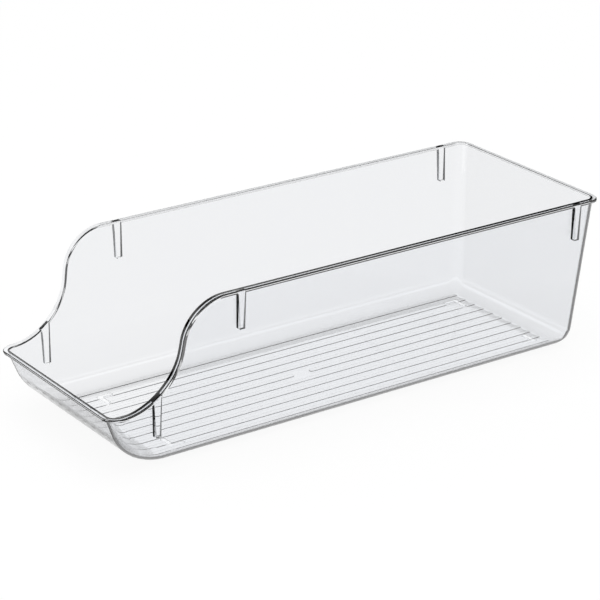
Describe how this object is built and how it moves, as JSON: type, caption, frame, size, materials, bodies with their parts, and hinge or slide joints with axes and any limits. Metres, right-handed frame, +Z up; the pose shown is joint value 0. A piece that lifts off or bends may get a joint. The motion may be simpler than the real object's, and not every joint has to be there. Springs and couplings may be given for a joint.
{
  "type": "open-front fridge storage bin",
  "caption": "Long clear plastic bin, open on top, with S-cut sides down to a low rounded front, an outward lip, a ridged floor, upright nesting ribs and low L-shaped feet.",
  "frame": {"origin": "on the ground, at the centre of the bin's overall box seen from above", "axes": "+X across the bin, to the right when the low front faces the viewer; +Y towards the tall back wall, so the low front is at -Y; +Z up"},
  "size_m": [0.141, 0.3539, 0.101],
  "materials": {
    "clear_plastic": "clear, glossy"
  },
  "bodies": {
    "root": {"bin_shell": "clear_plastic", "floor_ridge_01": "clear_plastic", "floor_ridge_02": "clear_plastic", "floor_ridge_03": "clear_plastic", "floor_ridge_04": "clear_plastic", "floor_ridge_05": "clear_plastic", "floor_ridge_06_back": "clear_plastic", "floor_ridge_06_front": "clear_plastic", "floor_ridge_07": "clear_plastic", "floor_ridge_08": "clear_plastic", "floor_ridge_09": "clear_plastic", "floor_ridge_10": "clear_plastic", "floor_ridge_11": "clear_plastic", "foot_back_left": "clear_plastic", "foot_back_right": "clear_plastic", "foot_front_left": "clear_plastic", "foot_front_right": "clear_plastic", "nesting_rib_left_back": "clear_plastic", "nesting_rib_left_front": "clear_plastic", "nesting_rib_left_middle": "clear_plastic", "nesting_rib_right_back": "clear_plastic", "nesting_rib_right_front": "clear_plastic", "nesting_rib_right_middle": "clear_plastic", "rim_flange": "clear_plastic"}
  },
  "joints": []
}
